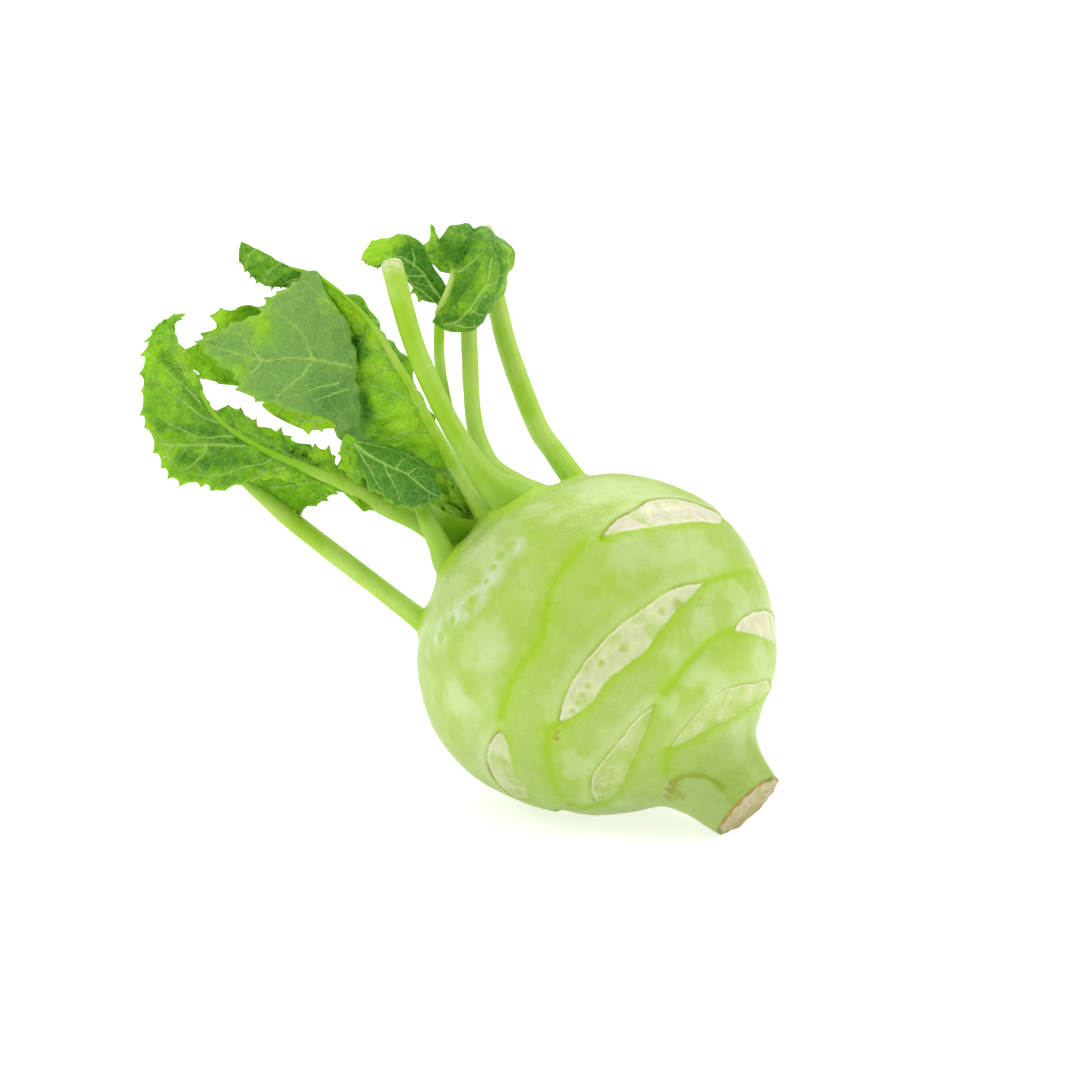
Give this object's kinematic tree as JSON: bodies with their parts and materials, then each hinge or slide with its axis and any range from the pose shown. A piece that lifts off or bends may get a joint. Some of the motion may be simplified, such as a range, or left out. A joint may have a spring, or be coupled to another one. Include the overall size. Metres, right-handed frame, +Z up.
{
  "type": "kohlrabi",
  "caption": "Pale green kohlrabi bulb lying on its side with its cut root stub, leaf scars, trimmed stalks and small folded leaves.",
  "frame": {"origin": "middle of the small flat spot on the bulb's underside that it rests on", "axes": "+Z up from the surface; +X right, along the side plane from the leaf tips to the root stub; +Y away from the front, so the stalks rise to -X and +Z and lean back a little"},
  "size_m": [0.1597, 0.0869, 0.1432],
  "materials": {
    "bulb_skin": "satin, waxy",
    "stalk_skin": "satin, waxy",
    "leaf_blade": "satin, waxy"
  },
  "bodies": {
    "root": {"bulb": "bulb_skin", "petiole_cut_front": "stalk_skin", "petiole_cut_right": "stalk_skin", "petiole_cut_middle": "stalk_skin", "leaf_front_left": "leaf_blade", "leaf_lower_left": "leaf_blade", "leaf_large_folded": "leaf_blade", "leaf_short_folded": "leaf_blade", "leaf_curled_top": "leaf_blade", "leaves_young": "leaf_blade"}
  },
  "joints": []
}
